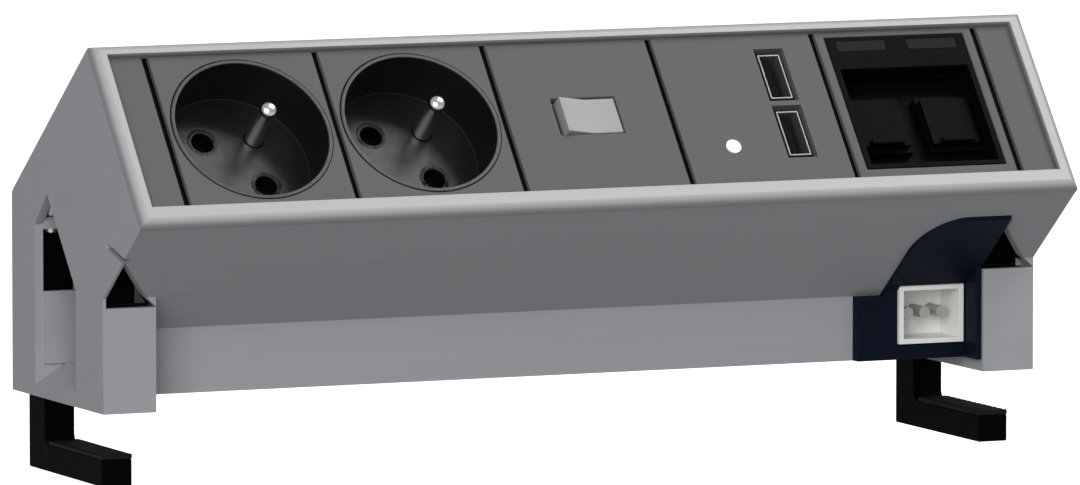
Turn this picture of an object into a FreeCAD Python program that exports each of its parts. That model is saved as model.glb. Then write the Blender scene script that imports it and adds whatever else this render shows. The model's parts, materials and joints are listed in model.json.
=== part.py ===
import FreeCAD, Part
import math
import os
import Sketcher

# A modular desk socket strip on two clamps: a three-sided aluminium extrusion whose sloping front
# holds five 45 mm modules, closed by two end caps that each guide an L-shaped clamp jaw.
# X runs along the strip, the front faces -Y and Z is up. The origin is the middle of the footprint,
# at the level of the underside of the closed jaws.

Vector = FreeCAD.Vector

# Driving dimensions in millimetres and degrees
SIZES = {
    # row of modules
    "module_pitch": 45,
    "rib_width": 1.6,
    "plate_thickness": 2.6,
    "face_drop": 1.4,
    # casing
    "panel_tilt": 50,
    "overall_depth": 91.5,
    "undercut_angle": 38,
    "rear_slope_angle": 37.6,
    "undercut_reach": 38,
    "profile_drop": 46,
    "casing_wall": 2.2,
    "frame_thickness": 2.5,
    "frame_foot_rim": 5.2,
    "frame_head_rim": 3.2,
    "frame_end_rim": 3.8,
    "frame_edge_radius": 2.2,
    "carrier_depth": 7.5,
    "carrier_edge": 2.7,
    "window_edge": 1.4,
    "ledge_thickness": 1.6,
    "ledge_reach": 3,
    "screw_boss_radius": 3,
    "screw_boss_height": 4.6,
    "screw_boss_gap": 1,
    # end caps
    "end_cap_width": 14,
    "end_cap_skin": 2.2,
    "foot_step": 3,
    "foot_setback": 26.25,
    "cap_back_radius": 5,
    "opening_front": 44.6,
    "opening_back_inset": 19.7,
    "opening_sill_height": 8,
    "opening_shoulder": 20,
    "opening_back_shoulder": 6.3,
    "opening_peak_inset": 27.8,
    "opening_peak_height": 2,
    "sill_slope": 5,
    "sill_run": 8,
    "guide_head_height": 26,
    "notch_start": 13.5,
    "notch_step": 2.5,
    "notch_depth": 6,
    "notch_skin": 0.8,
    "groove_width": 1.6,
    "groove_drop": 0.5,
    "locating_tongue": 5,
    # clamps
    "jaw_width": 8,
    "jaw_stem": 9.6,
    "jaw_back_inset": 7.5,
    "jaw_tip_reach": 35,
    "jaw_arm": 6.8,
    "jaw_heel_taper": 1.2,
    "jaw_inner_radius": 2.5,
    "pad_thickness": 1.2,
    "closed_gap": 11,
    "jaw_stop_gap": 0.4,
    "guide_wall": 1.9,
    "clamp_screw_radius": 2.5,
    "clamp_head_radius": 4.25,
    "clamp_head_height": 4.6,
    "clamp_head_room": 1.4,
    "clamp_shelf_thickness": 3,
    "clamp_screw_length": 52.5,
    "screw_ring_radius": 3.9,
    "screw_ring_thickness": 1,
    "access_hole_radius": 3,
    # mains sockets
    "cover_rim": 0.9,
    "insert_wall": 1.2,
    "recess_depth": 15,
    "recess_floor": 2.6,
    "contact_reach": 9.5,
    "contact_hole_radius": 2.75,
    "contact_turn": 135,
    "earth_pin_reach": 10,
    "earth_pin_radius": 2.4,
    "earth_pin_set_back": 0.8,
    "earth_collar_radius": 3.4,
    "shutter_thickness": 2,
    "shutter_half_length": 13,
    "shutter_wing": 6.8,
    "shutter_post_radius": 1.5,
    "shutter_shoulder_radius": 2.5,
    "spring_wire_radius": 0.3,
    "spring_pitch": 1,
    "spring_turns": 3,
    "rear_housing_step": 0.4,
    "rear_housing_length": 18,
    "rear_housing_wall": 2.6,
    "clip_radius": 3.3,
    "clip_bore": 2.5,
    "clip_length": 11,
    "terminal_screw_radius": 1.5,
    "terminal_head_radius": 2.6,
    "terminal_head_height": 2,
    # rocker switch
    "rocker_length": 15.4,
    "rocker_height": 10.3,
    "rocker_hole_length": 17.4,
    "rocker_hole_height": 11,
    "rocker_top": 6.7,
    "rocker_dish": 0.9,
    "rocker_side": 3.6,
    "rocker_nose": 3,
    "rocker_pivot_drop": 7.5,
    "rocker_swing": 12,
    "pivot_pin_radius": 1,
    "switch_body_length": 20,
    "switch_body_height": 15.4,
    "switch_body_depth": 19,
    "switch_flange": 2,
    "blade_width": 4.8,
    "blade_thickness": 0.8,
    "blade_length": 11,
    "blade_spacing": 6,
    # charger
    "port_along": 9.4,
    "port_upper": 10.2,
    "port_lower": -7.1,
    "port_hole_width": 8,
    "port_hole_height": 15.8,
    "shell_width": 5.9,
    "shell_height": 13.3,
    "shell_wall": 0.35,
    "shell_length": 18.5,
    "shell_set_back": 0.9,
    "tongue_thickness": 1.9,
    "tongue_height": 11,
    "charger_depth": 30,
    "charger_wall": 1.6,
    "board_thickness": 1.6,
    "board_gap": 0.2,
    "indicator_along": -8.6,
    "indicator_up": -11.1,
    "indicator_radius": 2,
    "transformer_side": 15,
    "transformer_height": 8,
    "capacitor_radius": 4,
    # data outlet
    "data_cover_side": 2.4,
    "data_cover_foot": 3,
    "data_cover_head": 1.6,
    "data_frame_side": 4.1,
    "data_frame_foot": 4.5,
    "data_frame_head": 11.5,
    "data_recess_depth": 7,
    "jack_gap": 5,
    "jack_width": 14.6,
    "jack_height": 16.4,
    "jack_depth": 26,
    "jack_set_back": 4.8,
    "jack_port_width": 11.7,
    "jack_port_height": 8.2,
    "jack_port_depth": 12,
    "slide_thickness": 1.2,
    "slide_width": 13.6,
    "slide_height": 14,
    "slide_travel": 10,
    "slide_ridge": 1.4,
    "label_width": 13.5,
    "label_height": 3,
    "label_drop": 4.5,
    "label_thickness": 0.8,
    "jack_contact_side": 0.5,
    "jack_contact_pitch": 1.02,
    "jack_contact_length": 8,
    # inlet
    "inlet_width": 31,
    "inlet_proud": 0.9,
    "inlet_block_proud": 3,
    "inlet_arch_top": 7.8,
    "inlet_arch_inset": 7.5,
    "inlet_arch_radius": 12,
    "inlet_cheek": 1.4,
    "connector_width": 18,
    "connector_height": 14.8,
    "connector_length": 17,
    "connector_edge_gap": 1.8,
    "connector_foot_gap": 4,
    "connector_proud": 1,
    "connector_wall": 1.3,
    "connector_recess": 11,
    "inlet_pin_radius": 1.5,
    "inlet_pin_length": 7,
    "inlet_pin_spacing": 4.7,
    # wiring
    "wire_radius": 1.4,
    "wire_bend": 7,
    "wire_layer": 3.4,
    "wire_floor_gap": 8,
    "terminal_spacing": 5,
    "block_along": 68,
    "block_length": 20,
    "block_back_gap": 2.4,
    "block_width": 18.6,
    "block_height": 17,
    "earth_ring_radius": 4.6,
    "earth_ring_thickness": 1,
    "bond_screw_radius": 2,
    "bond_screw_along": 44,
    # clearances
    "fit_gap": 0.1,
    "running_gap": 0.05,
    "free_gap": 0.3,
    "jaw_gap": 0.3,
}

MODULES = ("socket_1", "socket_2", "switch", "usb", "data")
LEFT, RIGHT = -1, 1

doc = FreeCAD.newDocument("desk_socket_strip")
pieces = []


def fill_sheet():
    """Put each size in a cell whose alias is the size's name."""
    sheet = doc.addObject("Spreadsheet::Sheet", "Sizes")
    for row, (name, number) in enumerate(SIZES.items(), start=1):
        sheet.set(f"A{row}", name)
        sheet.set(f"B{row}", str(number))
        sheet.setAlias(f"B{row}", name)
    doc.recompute()
    return sheet


class Size:
    """A length or an angle that carries the sheet formula it comes from."""

    def __init__(self, value, text):
        self.value = value
        self.text = text

    def __add__(self, other):
        other = as_size(other)
        return Size(self.value + other.value, f"({self.text} + {other.text})")

    def __sub__(self, other):
        other = as_size(other)
        return Size(self.value - other.value, f"({self.text} - {other.text})")

    def __mul__(self, other):
        other = as_size(other)
        return Size(self.value * other.value, f"({self.text} * {other.text})")

    def __truediv__(self, other):
        other = as_size(other)
        return Size(self.value / other.value, f"({self.text} / {other.text})")

    def __neg__(self):
        return self * -1

    def __radd__(self, other):
        return as_size(other) + self

    def __rsub__(self, other):
        return as_size(other) - self

    def __rmul__(self, other):
        return as_size(other) * self


def as_size(number):
    if isinstance(number, Size):
        return number
    return Size(float(number), str(float(number)))


def sine(angle):
    return Size(math.sin(math.radians(angle.value)), f"sin({angle.text})")


def cosine(angle):
    return Size(math.cos(math.radians(angle.value)), f"cos({angle.text})")


def tangent(angle):
    return Size(math.tan(math.radians(angle.value)), f"tan({angle.text})")


class Sheet:
    """The sheet's sizes by name."""

    def __init__(self, sheet):
        for name in SIZES:
            setattr(self, name, Size(float(sheet.get(name)), f"Sizes.{name}"))


d = Sheet(fill_sheet())


def bind(thing, prop, size):
    """Tie a property to the sheet."""
    thing.setExpression(prop, as_size(size).text)


def hold(sketch, constraint, size):
    """Add a dimension to a sketch and tie it to the sheet."""
    index = sketch.addConstraint(constraint)
    if "Sizes" in size.text:
        sketch.setExpression(f"Constraints[{index}]", size.text)


def circle(x, y, radius):
    x, y, radius = as_size(x), as_size(y), as_size(radius)

    def draw(sketch):
        middle = Vector(x.value, y.value)
        edge = sketch.addGeometry(Part.Circle(middle, Vector(0, 0, 1), radius.value))
        hold(sketch, Sketcher.Constraint("DistanceX", -1, 1, edge, 3, x.value), x)
        hold(sketch, Sketcher.Constraint("DistanceY", -1, 1, edge, 3, y.value), y)
        hold(sketch, Sketcher.Constraint("Radius", edge, radius.value), radius)

    return draw


def polygon(*points):
    corners = [(as_size(x), as_size(y)) for x, y in points]

    def draw(sketch):
        places = [Vector(x.value, y.value) for x, y in corners]
        edges = [
            sketch.addGeometry(Part.LineSegment(start, end))
            for start, end in zip(places, places[1:] + places[:1])
        ]
        for edge, following in zip(edges, edges[1:] + edges[:1]):
            sketch.addConstraint(Sketcher.Constraint("Coincident", edge, 2, following, 1))
        for edge, (x, y) in zip(edges, corners):
            hold(sketch, Sketcher.Constraint("DistanceX", -1, 1, edge, 1, x.value), x)
            hold(sketch, Sketcher.Constraint("DistanceY", -1, 1, edge, 1, y.value), y)

    return draw


def corner_waste(x, y, radius):
    """What a square low left corner loses when it is rounded."""
    x, y, radius = as_size(x), as_size(y), as_size(radius)

    def draw(sketch):
        corner = Vector(x.value, y.value)
        above, beside = corner + Vector(0, radius.value), corner + Vector(radius.value, 0)
        middle = corner + Vector(radius.value, radius.value)
        down = sketch.addGeometry(Part.LineSegment(above, corner))
        out = sketch.addGeometry(Part.LineSegment(corner, beside))
        whole = Part.Circle(middle, Vector(0, 0, 1), radius.value)
        arc = sketch.addGeometry(Part.ArcOfCircle(whole, math.pi, math.pi * 1.5))
        sketch.addConstraint(Sketcher.Constraint("Coincident", down, 2, out, 1))
        sketch.addConstraint(Sketcher.Constraint("Coincident", arc, 1, down, 1))
        sketch.addConstraint(Sketcher.Constraint("Coincident", arc, 2, out, 2))
        sketch.addConstraint(Sketcher.Constraint("Vertical", down))
        sketch.addConstraint(Sketcher.Constraint("Horizontal", out))
        hold(sketch, Sketcher.Constraint("DistanceX", -1, 1, out, 1, x.value), x)
        hold(sketch, Sketcher.Constraint("DistanceY", -1, 1, out, 1, y.value), y)
        hold(sketch, Sketcher.Constraint("DistanceX", -1, 1, out, 2, (x + radius).value), x + radius)
        hold(sketch, Sketcher.Constraint("DistanceY", -1, 1, down, 1, (y + radius).value), y + radius)
        hold(sketch, Sketcher.Constraint("Radius", arc, radius.value), radius)

    return draw


def rectangle(left, low, right, high):
    return polygon((left, low), (right, low), (right, high), (left, high))


def centred(x, y, width, height):
    """A rectangle about its middle."""
    x, y, width, height = as_size(x), as_size(y), as_size(width), as_size(height)
    return rectangle(x - width / 2, y - height / 2, x + width / 2, y + height / 2)


class Piece:
    """A body made of prisms and turned shapes, added and removed one after another."""

    def __init__(self, name):
        self.body = doc.addObject("PartDesign::Body", name)
        self.body.Label = name
        pieces.append(self.body)

    def sketch(self, plane, offset, shapes):
        base = [f for f in self.body.Origin.OriginFeatures if f.Role == f"{plane}_Plane"][0]
        sketch = self.body.newObject("Sketcher::SketchObject", "Sketch")
        sketch.AttachmentSupport = (base, [""])
        sketch.MapMode = "FlatFace"
        bind(sketch, "AttachmentOffset.Base.z", offset)
        for draw in shapes:
            draw(sketch)
        return sketch

    def prism(self, kind, plane, low, high, shapes):
        """A prism on XY, XZ or YZ from low to high along the third axis."""
        low, high = as_size(low), as_size(high)
        offset = -high if plane == "XZ" else low
        sketch = self.sketch(plane, offset, shapes)
        feature = self.body.newObject(f"PartDesign::{kind}", kind)
        feature.Profile = sketch
        feature.Reversed = kind == "Pocket"
        bind(feature, "Length", high - low)
        return self

    def add(self, plane, low, high, *shapes):
        return self.prism("Pad", plane, low, high, shapes)

    def remove(self, plane, low, high, *shapes):
        return self.prism("Pocket", plane, low, high, shapes)

    def turn(self, *points):
        """Turn an outline of (radius, height) points about Z."""
        sketch = self.sketch("XZ", 0, [polygon(*points)])
        feature = self.body.newObject("PartDesign::Revolution", "Revolution")
        feature.Profile = sketch
        feature.ReferenceAxis = (sketch, ["V_Axis"])
        return self

    def round_edges(self, radius, picked):
        """Round the edges that a test of each edge's middle point and direction picks."""
        doc.recompute()
        solid = self.body.Tip
        names = []
        for number, edge in enumerate(solid.Shape.Edges, start=1):
            start, end = edge.Vertexes[0].Point, edge.Vertexes[-1].Point
            if picked((start + end) / 2, end - start):
                names.append(f"Edge{number}")
        feature = self.body.newObject("PartDesign::Fillet", "Fillet")
        feature.Base = (solid, names)
        bind(feature, "Radius", radius)
        return self

    def move_to(self, x, y, z, tilt=None):
        if tilt:
            self.body.Placement = FreeCAD.Placement(Vector(), FreeCAD.Rotation(Vector(1, 0, 0), tilt.value))
            bind(self.body, "Placement.Rotation.Angle", tilt)
        for axis, place in zip("xyz", (x, y, z)):
            bind(self.body, f"Placement.Base.{axis}", place)
        return self

    def on_panel(self, along, up=0):
        """Stand the piece on the row of modules: its own Y runs up the panel and its Z out of it."""
        y, z = section_point(row_middle + up, 0)
        return self.move_to(along, y + front_edge_y, z + front_edge_z, d.panel_tilt)

    def in_section(self, along=0):
        """Place a piece drawn from the panel's front lower edge."""
        return self.move_to(along, front_edge_y, front_edge_z)


def section_point(up, depth):
    """Y and Z from the panel's front lower edge, of a point up the panel and below its face."""
    y = up * cosine(d.panel_tilt) + depth * sine(d.panel_tilt)
    z = up * sine(d.panel_tilt) - depth * cosine(d.panel_tilt)
    return y, z


# Levels and outlines that several pieces share
corner_loss = d.frame_edge_radius * (cosine(d.panel_tilt) + sine(d.panel_tilt) - 1)
front_edge_y = -(d.overall_depth + corner_loss) / 2
foot_drop = d.profile_drop + d.foot_step
front_edge_z = foot_drop + d.closed_gap + d.pad_thickness + d.jaw_arm
modules_length = d.module_pitch * len(MODULES)
profile_half = modules_length / 2
overall_half = profile_half + d.end_cap_width
plate_width = d.module_pitch - d.rib_width
plate_height = d.module_pitch
row_middle = d.frame_foot_rim + d.free_gap + plate_height / 2
panel_width = row_middle + plate_height / 2 + d.free_gap + d.frame_head_rim
window_side = d.module_pitch - d.window_edge * 2
module_side = window_side - d.free_gap * 2
plate_top = -d.face_drop
plate_under = plate_top - d.plate_thickness
insert_radius = plate_width / 2 - d.cover_rim
recess_radius = insert_radius - d.insert_wall
rear_housing_radius = insert_radius - d.rear_housing_step
floor_top = plate_top - d.recess_depth
floor_under = floor_top - d.recess_floor
jaw_back = d.overall_depth - d.jaw_back_inset
block_reach = d.overall_depth - d.casing_wall - d.block_back_gap - d.block_width
connector_low = d.connector_foot_gap - d.profile_drop
ridge_y, ridge_z = section_point(panel_width, 0)
undercut_lean = 90 - d.panel_tilt - d.undercut_angle
slope_lean = 90 - d.panel_tilt - d.rear_slope_angle


def undercut_z(y, inset=0):
    """Height of the undercut, or of a face inside it."""
    return as_size(inset) / cosine(d.undercut_angle) - y * tangent(d.undercut_angle)


def slope_z(y, inset=0):
    """Height of the rear slope, or of a face inside it."""
    drop = (y - ridge_y) * tangent(d.rear_slope_angle)
    return ridge_z - drop - as_size(inset) / cosine(d.rear_slope_angle)


def undercut_up(depth):
    """How far up the panel the undercut lies at a depth below the panel."""
    return depth * tangent(undercut_lean)


def slope_up(depth):
    return panel_width + depth * tangent(slope_lean)


def module_along(name):
    return (MODULES.index(name) - (len(MODULES) - 1) / 2) * d.module_pitch


def cavity_outline(front_depth):
    """The inside of the extrusion's section, from a depth below the panel to the back wall."""
    wall = d.casing_wall
    front_y = d.undercut_reach + wall
    back_y = d.overall_depth - wall
    floor_z = wall - d.profile_drop
    return polygon(
        section_point(undercut_up(front_depth) + wall, front_depth),
        (front_y, undercut_z(front_y, wall)),
        (front_y, floor_z),
        (back_y, floor_z),
        (back_y, slope_z(back_y, wall)),
        section_point(slope_up(front_depth) - wall, front_depth),
    )


def channel_places():
    """Where an end cap's screws enter the extrusion, between the connector and the terminal block."""
    height = d.casing_wall - d.profile_drop + d.screw_boss_height
    front = connector_front() + d.connector_length + d.screw_boss_gap + d.screw_boss_radius
    back = block_reach - d.free_gap - d.screw_boss_radius
    return [(front, height), (back, height)]


def housing_profile():
    start, end = -profile_half, profile_half
    depth = d.frame_thickness
    piece = Piece("housing_profile")
    piece.add("YZ", start, end, polygon(
        section_point(undercut_up(depth), depth),
        (d.undercut_reach, undercut_z(d.undercut_reach)),
        (d.undercut_reach, -d.profile_drop),
        (d.overall_depth, -d.profile_drop),
        (d.overall_depth, slope_z(d.overall_depth)),
        section_point(slope_up(depth), depth),
    ))
    piece.remove("YZ", start, end, cavity_outline(as_size(-1)))
    ledge_top = d.frame_thickness + d.carrier_depth
    ledge_under = ledge_top + d.ledge_thickness
    for wall_at, reach in ((undercut_up, 1), (slope_up, -1)):
        foot = wall_at(ledge_top) + d.casing_wall * reach / 2
        tip = wall_at(ledge_top) + (d.casing_wall + d.ledge_reach) * reach
        piece.add("YZ", start, end, polygon(
            section_point(foot, ledge_top),
            section_point(tip, ledge_top),
            section_point(tip, ledge_under),
            section_point(foot, ledge_under),
        ))
    floor_z = -d.profile_drop
    for y, z in channel_places():
        piece.add("YZ", start, end, circle(y, z, d.screw_boss_radius))
        piece.add("YZ", start, end, rectangle(y - d.casing_wall / 2, floor_z, y + d.casing_wall / 2, z))
        piece.remove("YZ", start, end, circle(y, z, d.terminal_screw_radius + d.running_gap))
    piece.remove("XZ", 0, d.undercut_reach + d.casing_wall * 2, rectangle(
        window_left(), floor_z + d.casing_wall, end, window_top()))
    piece.remove("XY", floor_z - 1, floor_z + d.casing_wall + 1,
                 circle(d.bond_screw_along, bond_screw_y(), d.bond_screw_radius + d.running_gap))
    piece.in_section()


def front_frame():
    piece = Piece("front_frame")
    piece.add("XY", -d.frame_thickness, 0,
              rectangle(-overall_half, -row_middle, overall_half, panel_width - row_middle))

    def top_edge(middle, run):
        return abs(middle.z) < 0.01 and abs(run.z) < 0.01

    piece.round_edges(d.frame_edge_radius, top_edge)
    piece.remove("XY", -d.frame_thickness, 0,
                 centred(0, 0, (overall_half - d.frame_end_rim) * 2, plate_height + d.free_gap * 2))
    piece.on_panel(0)


def filler_strips():
    """The two narrow plates between the row of modules and the frame's ends."""
    piece = Piece("filler_strips")
    ends = (profile_half + d.rib_width / 2 + d.fit_gap, overall_half - d.frame_end_rim - d.fit_gap)
    half_height = plate_height / 2 + d.free_gap - d.fit_gap
    piece.add("XY", plate_under, plate_top,
              rectangle(ends[0], -half_height, ends[1], half_height),
              rectangle(-ends[1], -half_height, -ends[0], half_height))
    piece.on_panel(0)


def module_carrier():
    top = -d.frame_thickness
    under = top - d.carrier_depth
    half_length = profile_half + d.rib_width / 2
    piece = Piece("module_carrier")
    piece.add("XY", under, top, rectangle(
        -half_length, d.carrier_edge - row_middle, half_length, panel_width - d.carrier_edge - row_middle))
    piece.remove("XY", under, top,
                 *[centred(module_along(m), 0, window_side, window_side) for m in MODULES])
    piece.remove("XY", plate_under, top,
                 *[centred(module_along(m), 0, plate_width + d.fit_gap * 2, plate_height + d.fit_gap * 2)
                   for m in MODULES])
    piece.on_panel(0)


def end_cap(name, side):
    """A cap drawn with X from 0 at its outer face to its width at the extrusion."""
    width, skin, wall = d.end_cap_width, d.end_cap_skin, d.casing_wall
    back = d.overall_depth
    foot_z = -foot_drop

    def across(low, high):
        """Ends of a span measured from the outer face, in the order that a prism needs."""
        low, high = as_size(low), as_size(high)
        return (low, high) if side == LEFT else (-high, -low)

    depth = d.frame_thickness
    piece = Piece(name)
    piece.add("YZ", *across(0, width), polygon(
        section_point(undercut_up(depth), depth),
        (d.foot_setback, undercut_z(d.foot_setback)),
        (d.foot_setback, foot_z),
        (back, foot_z),
        (back, slope_z(back)),
        section_point(slope_up(depth), depth),
    ))

    def outer_back_edge(middle, run):
        return abs(middle.x) < 0.01 and abs(middle.y - back.value) < 0.01 and abs(run.z) > 1

    piece.round_edges(d.cap_back_radius, outer_back_edge)
    piece.remove("YZ", *across(skin, width), cavity_outline(d.face_drop + d.plate_thickness + wall))
    web = d.opening_front - wall * 2
    piece.add("YZ", *across(skin / 2, width),
              rectangle(web, foot_z + wall / 2, web + wall, slope_z(web + wall, wall / 2)))
    strip_under = d.face_drop + d.plate_thickness
    piece.remove("YZ", *across(d.frame_end_rim, width), polygon(
        section_point(d.frame_foot_rim, depth - 1),
        section_point(panel_width - d.frame_head_rim, depth - 1),
        section_point(panel_width - d.frame_head_rim, strip_under),
        section_point(d.frame_foot_rim, strip_under),
    ))
    rib_room = d.rib_width / 2 + d.fit_gap
    carrier_room = d.carrier_edge - d.fit_gap
    piece.remove("YZ", *across(width - rib_room, width), polygon(
        section_point(carrier_room, d.frame_thickness),
        section_point(panel_width - carrier_room, d.frame_thickness),
        section_point(panel_width - carrier_room, d.frame_thickness + d.carrier_depth),
        section_point(carrier_room, d.frame_thickness + d.carrier_depth),
    ))
    guide_front = slot_front() - d.guide_wall
    guide_back = slot_back() + d.guide_wall
    shelf_top = shelf_seat()
    piece.add("YZ", *across(skin / 2, width), rectangle(guide_front, foot_z + wall, guide_back, shelf_top))
    middle = width / 2
    slot_half = d.jaw_width / 2 + d.jaw_gap
    shelf_under = shelf_top - d.clamp_shelf_thickness
    piece.remove("YZ", *across(middle - slot_half, middle + slot_half),
                 rectangle(slot_front(), foot_z, slot_back(), shelf_under))
    piece.remove("YZ", *across(skin, width),
                 rectangle(guide_front, foot_z + d.guide_head_height, slot_front(), shelf_under))
    flip = -side
    screw_y = clamp_screw_y()
    piece.remove("XY", shelf_under, shelf_top,
                 circle(middle * flip, screw_y, d.clamp_screw_radius + d.running_gap))
    head_top = slope_z(screw_y - d.access_hole_radius)
    piece.remove("XY", shelf_top, head_top, circle(middle * flip, screw_y, d.access_hole_radius))
    sill_z = foot_z + d.opening_sill_height
    opening_back = back - d.opening_back_inset
    piece.remove("YZ", *across(0, skin), polygon(
        (d.opening_front, sill_z),
        (opening_back, sill_z),
        (opening_back, -d.opening_back_shoulder),
        (back - d.opening_peak_inset, d.opening_peak_height),
        (d.opening_front, -d.opening_shoulder),
    ))
    run = d.sill_run * flip
    piece.add("XZ", d.opening_front, guide_front + wall / 2,
              rectangle(skin / 2 * flip, sill_z - d.sill_slope, run, sill_z))
    piece.remove("XZ", d.opening_front, opening_back, polygon(
        (0, sill_z),
        (run, sill_z),
        (0, sill_z - d.sill_slope),
    ))
    notch_tip, notch_foot = (d.notch_skin, width) if side == LEFT else (-width, 0)
    notch_low = undercut_z(d.foot_setback) - d.notch_step
    piece.remove("XZ", d.notch_start - wall, d.foot_setback + d.notch_depth, polygon(
        (notch_tip, undercut_z(d.notch_start)),
        (notch_tip, notch_low),
        (notch_foot, notch_low),
    ))
    if side == LEFT:
        groove_start = (d.notch_start, undercut_z(d.notch_start) - d.groove_drop)
        groove_end = (d.notch_start * 1.8, groove_start[1] + d.groove_width * 2)
        piece.remove("YZ", *across(0, skin), polygon(
            groove_start,
            groove_end,
            (groove_end[0], groove_end[1] + d.groove_width),
            (groove_start[0] - d.groove_width, groove_start[1] + d.groove_width),
        ))
    for y, z in channel_places():
        piece.add("YZ", *across(width - wall, width), circle(y, z, d.screw_boss_radius))
        piece.add("YZ", *across(width - wall, width),
                  rectangle(y - wall / 2, -d.profile_drop, y + wall / 2, z))
        piece.remove("YZ", *across(width - wall, width), circle(y, z, d.terminal_screw_radius + d.running_gap))
    for start, end in tongue_spans():
        piece.add("YZ", *across(skin / 2, width + d.locating_tongue), polygon(
            (start, slope_z(start, wall + d.fit_gap)),
            (end, slope_z(end, wall + d.fit_gap)),
            (end, slope_z(end, wall * 2)),
            (start, slope_z(start, wall * 2)),
        ))
    piece.in_section(overall_half * side)


def tongue_spans():
    """Where the caps' tongues lie under the rear slope."""
    length = d.locating_tongue * 2
    starts = [d.opening_front + length * 1.5 * i for i in range(2)]
    return [(start, start + length) for start in starts]


def slot_back():
    return jaw_back + d.jaw_gap


def slot_front():
    return jaw_back - d.jaw_stem - d.jaw_heel_taper - d.jaw_gap


def clamp_screw_y():
    return jaw_back - (d.jaw_stem + d.jaw_heel_taper) / 2


def cap_middle(side):
    return (overall_half - d.end_cap_width / 2) * side


def end_cap_screws():
    """Two screws in each cap, driven into the extrusion's channels from inside the cap."""
    piece = Piece("end_cap_screws")
    seat = profile_half + d.casing_wall
    spans = (
        (seat - d.end_cap_width, seat, d.terminal_screw_radius),
        (seat, seat + d.terminal_head_height, d.terminal_head_radius),
    )
    for y, z in channel_places():
        for low, high, radius in spans:
            piece.add("YZ", low, high, circle(y, z, radius))
            piece.add("YZ", -high, -low, circle(y, z, radius))
    piece.in_section()


def contact_places(turn=0):
    """The two contact holes, on either side of the middle of a socket."""
    angle = d.contact_turn + turn
    x, y = d.contact_reach * cosine(angle), d.contact_reach * sine(angle)
    return [(x, y), (-x, -y)]


def earth_place():
    angle = d.contact_turn - 90
    return d.earth_pin_reach * cosine(angle), d.earth_pin_reach * sine(angle)


def socket_cover(name):
    piece = Piece(f"{name}_cover")
    piece.add("XY", plate_under, plate_top, centred(0, 0, plate_width, plate_height))
    piece.remove("XY", plate_under, plate_top, circle(0, 0, insert_radius + d.fit_gap))
    piece.on_panel(module_along(name))


def socket_insert(name):
    piece = Piece(f"{name}_insert")
    piece.turn((0, floor_under), (insert_radius, floor_under), (insert_radius, plate_top),
               (recess_radius, plate_top), (recess_radius, floor_top), (0, floor_top))
    piece.remove("XY", floor_under, floor_top,
                 *[circle(x, y, d.contact_hole_radius) for x, y in contact_places()])
    piece.remove("XY", floor_under, floor_top, circle(*earth_place(), d.earth_pin_radius + d.fit_gap))
    piece.on_panel(module_along(name))


def socket_earth_pin(name):
    x, y = earth_place()
    tip = plate_top - d.earth_pin_set_back
    collar_under = floor_under - d.shutter_thickness
    foot = collar_under - d.clip_length
    piece = Piece(f"{name}_earth_pin")
    piece.turn((0, foot), (d.terminal_screw_radius, foot), (d.terminal_screw_radius, collar_under),
               (d.earth_collar_radius, collar_under), (d.earth_collar_radius, floor_under),
               (d.earth_pin_radius, floor_under), (d.earth_pin_radius, tip), (0, tip))

    def tip_edge(middle, run):
        return abs(middle.z - tip.value) < 0.01

    piece.round_edges(d.earth_pin_radius * 0.9, tip_edge)
    piece.on_panel(module_along(name) + x, y)


def shutter_levels():
    """Top and underside of a shutter below the recess's floor."""
    top = floor_under - d.free_gap
    return top, top - d.shutter_thickness


def chamber_floor():
    return shutter_levels()[1] - d.free_gap * 2


def rear_floor():
    """The back face of a socket's rear housing."""
    return floor_under - d.rear_housing_length


def well_floor():
    return chamber_floor() - d.clip_length - d.free_gap * 2


def socket_contacts(name):
    piece = Piece(f"{name}_contacts")
    low = well_floor()
    high = low + d.clip_length
    for x, y in contact_places():
        piece.add("XY", low, high, circle(x, y, d.clip_radius))
        piece.remove("XY", low + d.clip_length / 4, high, circle(x, y, d.clip_bore))
        piece.remove("XY", low + d.clip_length / 4, high, centred(x, y, d.clip_radius * 3, d.blade_thickness))
    piece.on_panel(module_along(name))


def socket_shutter(name):
    """A two-winged disc that covers the contact holes until both pins push it round."""
    top, under = shutter_levels()
    angle = d.contact_turn
    along = (d.shutter_half_length * cosine(angle), d.shutter_half_length * sine(angle))
    aside = (d.shutter_wing / 2 * sine(angle), -d.shutter_wing / 2 * cosine(angle))
    piece = Piece(f"{name}_shutter")
    piece.add("XY", under, top, polygon(
        (along[0] + aside[0], along[1] + aside[1]),
        (along[0] - aside[0], along[1] - aside[1]),
        (-along[0] - aside[0], -along[1] - aside[1]),
        (-along[0] + aside[0], -along[1] + aside[1]),
    ))
    piece.remove("XY", under, top, circle(0, 0, d.shutter_post_radius + d.running_gap))
    piece.on_panel(module_along(name))


def socket_shutter_spring(name):
    """The coil round the shutter's post, bent from short straight runs and arcs."""
    wire = d.spring_wire_radius.value
    radius = d.shutter_shoulder_radius.value + d.free_gap.value + wire
    foot = chamber_floor() - d.spring_pitch * d.spring_turns - wire
    bends = 12
    corner = radius / math.cos(math.pi / bends)
    points = []
    for i in range(int(d.spring_turns.value) * bends + 1):
        angle = math.pi * 2 * i / bends
        points.append(Vector(corner * math.cos(angle), corner * math.sin(angle), d.spring_pitch.value * i / bends))
    feature = doc.addObject("Part::Feature", f"{name}_shutter_spring")
    feature.Label = f"{name}_shutter_spring"
    feature.Shape = wire_tube(points, wire, radius * 0.9)
    y, z = section_point(row_middle, -foot)
    place = Vector(module_along(name).value, (y + front_edge_y).value, (z + front_edge_z).value)
    feature.Placement = FreeCAD.Placement(place, FreeCAD.Rotation(Vector(1, 0, 0), d.panel_tilt.value))
    pieces.append(feature)


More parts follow.
